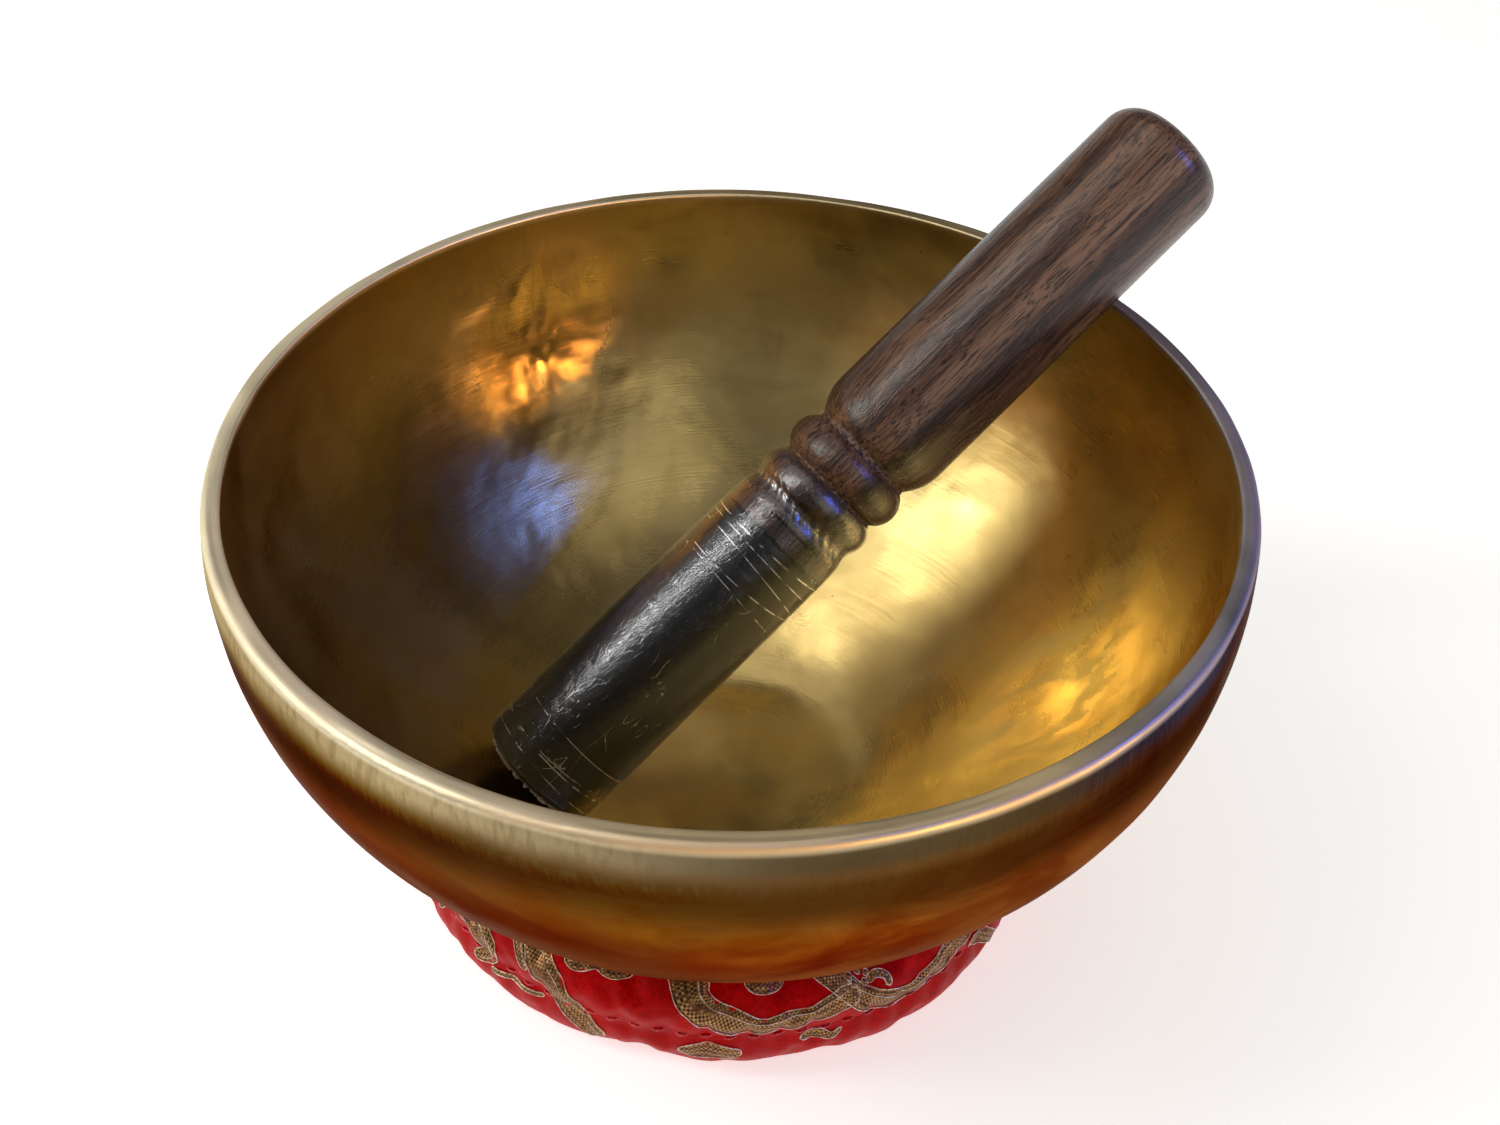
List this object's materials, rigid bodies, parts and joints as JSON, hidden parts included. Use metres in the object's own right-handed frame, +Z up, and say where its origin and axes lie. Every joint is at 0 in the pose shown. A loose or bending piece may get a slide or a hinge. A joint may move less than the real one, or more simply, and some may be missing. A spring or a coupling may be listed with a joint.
{
  "type": "singing bowl",
  "caption": "Hammered bronze singing bowl standing on a stuffed brocade ring cushion, with a turned wooden mallet in a leather sleeve leaning inside it.",
  "frame": {"origin": "centre of the ring cushion's flat underside, on the table", "axes": "+Z up along the bowl's axis; +X to the right and +Y to the back, so the mallet's grip leaves over the rim at the back right"},
  "size_m": [0.2026, 0.2026, 0.1489],
  "materials": {
    "bronze": "hammered outside, brushed inside, worn bright on the lip",
    "rosewood": "turned and oiled, satin",
    "black_leather": "smooth black under the film",
    "clear_film": "clear and glossy, wrinkled where it shrank",
    "brocade": "red satin weave with raised gold ribbon motifs",
    "fibre_filling": "loose fibre",
    "red_thread": "twisted sewing thread"
  },
  "bodies": {
    "cushion": {"cushion_cover_upper": "brocade", "cushion_cover_lower": "brocade", "cushion_stuffing": "fibre_filling", "outer_seam_thread": "red_thread", "inner_seam_thread": "red_thread"},
    "bowl": {"bowl_shell": "bronze"},
    "mallet": {"mallet_handle": "rosewood", "leather_sleeve": "black_leather", "shrink_film": "clear_film"}
  },
  "joints": [
    {"name": "bowl_lift", "type": "slide", "parent": "cushion", "child": "bowl", "axis": [0, 0, 1], "range_m": [0, 0.05]},
    {"name": "mallet_lift", "type": "slide", "parent": "bowl", "child": "mallet", "axis": [0, 0, 1], "range_m": [0, 0.11]}
  ]
}
